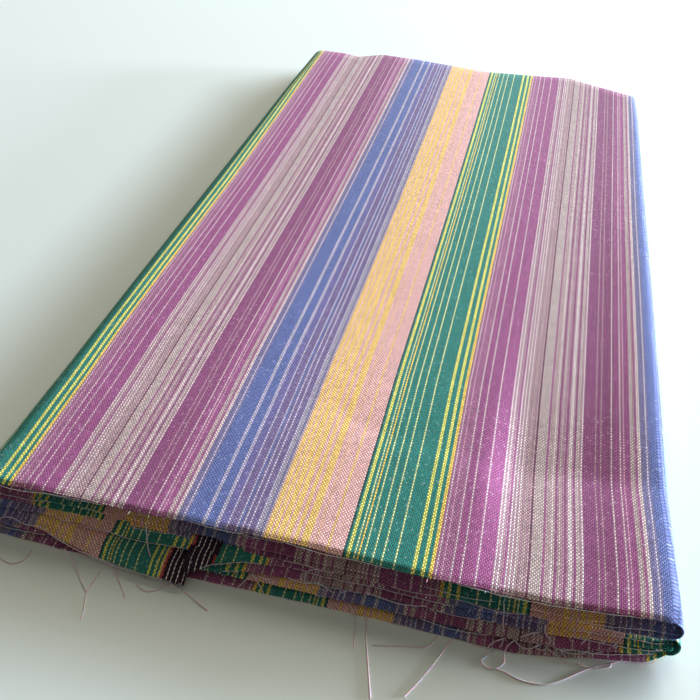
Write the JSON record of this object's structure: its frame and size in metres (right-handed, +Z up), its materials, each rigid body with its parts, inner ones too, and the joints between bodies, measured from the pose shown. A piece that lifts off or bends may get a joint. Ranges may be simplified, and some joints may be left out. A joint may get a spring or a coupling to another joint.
{
  "type": "folded striped woven cloth",
  "caption": "Folded length of hand-loomed striped cotton with raw cut edges and loose weft yarns, lying flat for storage or display.",
  "frame": {"origin": "middle of the pack's box, on the surface that it lies on", "axes": "+X across the stripes towards the pack's right-hand fold, +Y along the stripes from the cut edges to the far fold, +Z up"},
  "size_m": [0.2884, 0.5188, 0.0176],
  "materials": {
    "striped_cotton": "matte plain-woven cotton with warp stripes of purple, mauve grey, blue, yellow, pink and green",
    "weft_yarn": "matte lilac single cotton yarn"
  },
  "bodies": {
    "root": {"folded_cloth": "striped_cotton", "ravelled_yarns": "weft_yarn"}
  },
  "joints": []
}
